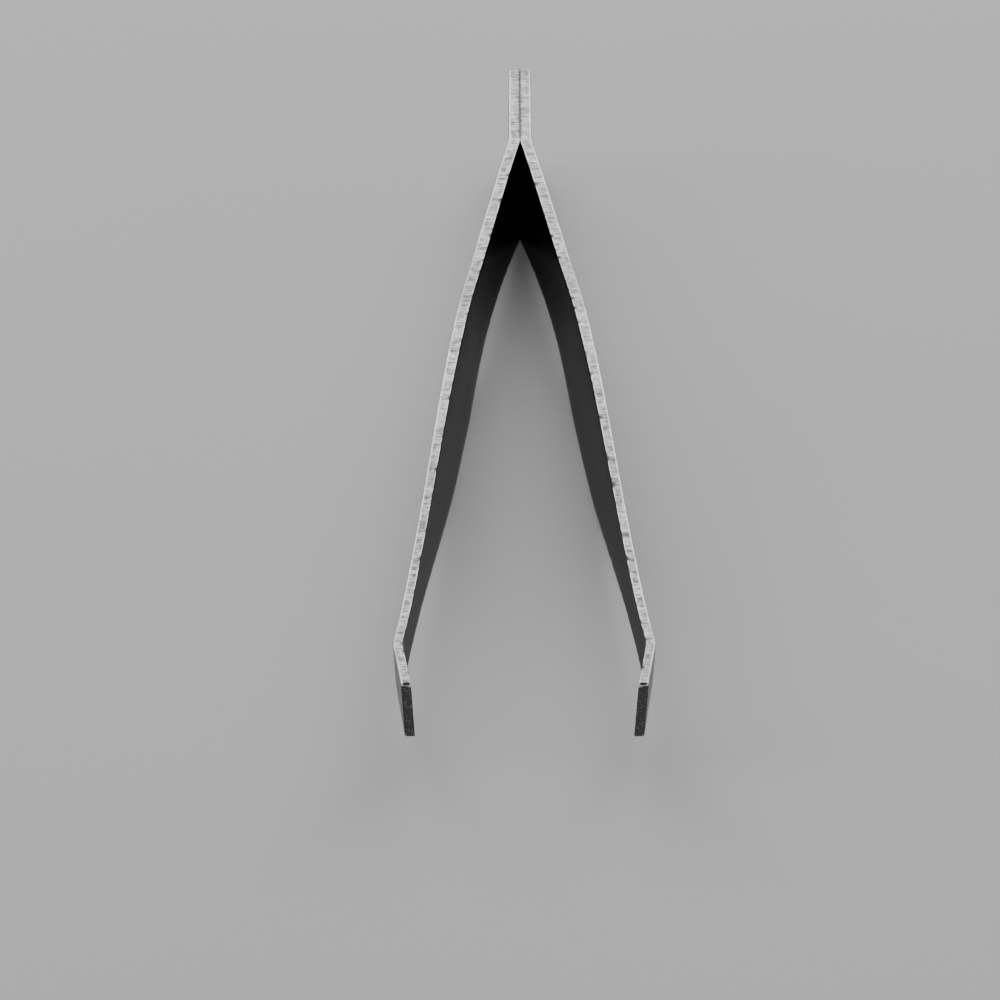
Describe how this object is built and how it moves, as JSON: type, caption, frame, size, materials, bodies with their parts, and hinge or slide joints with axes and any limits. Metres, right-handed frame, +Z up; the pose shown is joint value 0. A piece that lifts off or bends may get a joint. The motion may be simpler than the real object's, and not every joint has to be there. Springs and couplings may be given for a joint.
{
  "type": "slant tweezers",
  "caption": "Slant tweezers: sprung steel arms spot-welded at a flared tail, with wide finger grips, narrow necks, bent shoulders and slanted gripping tips.",
  "frame": {"origin": "on the resting surface, under the middle of the tweezers as they stand on the lower edges of their grips and tail", "axes": "+Z up, across the width of the strips; +Y from the tips to the tail; +X from the left arm to the right arm, through the gap"},
  "size_m": [0.0152, 0.095, 0.0082],
  "materials": {
    "arm_steel": "polished faces with sheared, fine-grained edges",
    "weld_steel": "fused spot weld"
  },
  "bodies": {
    "stem": {"left_tail": "arm_steel", "right_tail": "arm_steel", "weld_nugget_front": "weld_steel", "weld_nugget_rear": "weld_steel", "left_flexure": "arm_steel", "right_flexure": "arm_steel"},
    "left_arm": {"left_blade": "arm_steel"},
    "right_arm": {"right_blade": "arm_steel"}
  },
  "joints": [
    {"name": "left_arm_flex", "type": "hinge", "parent": "stem", "child": "left_arm", "pos_m": [-0.00189, 0.02195, 0.0041], "axis": [0, 0, 1], "range_deg": [0, 5.27], "stiffness_Nm_per_rad": 1.23, "deforming": ["left_flexure"]},
    {"name": "right_arm_flex", "type": "hinge", "parent": "stem", "child": "right_arm", "pos_m": [0.00189, 0.02195, 0.0041], "axis": [0, 0, -1], "range_deg": [0, 5.27], "stiffness_Nm_per_rad": 1.23, "deforming": ["right_flexure"]}
  ]
}
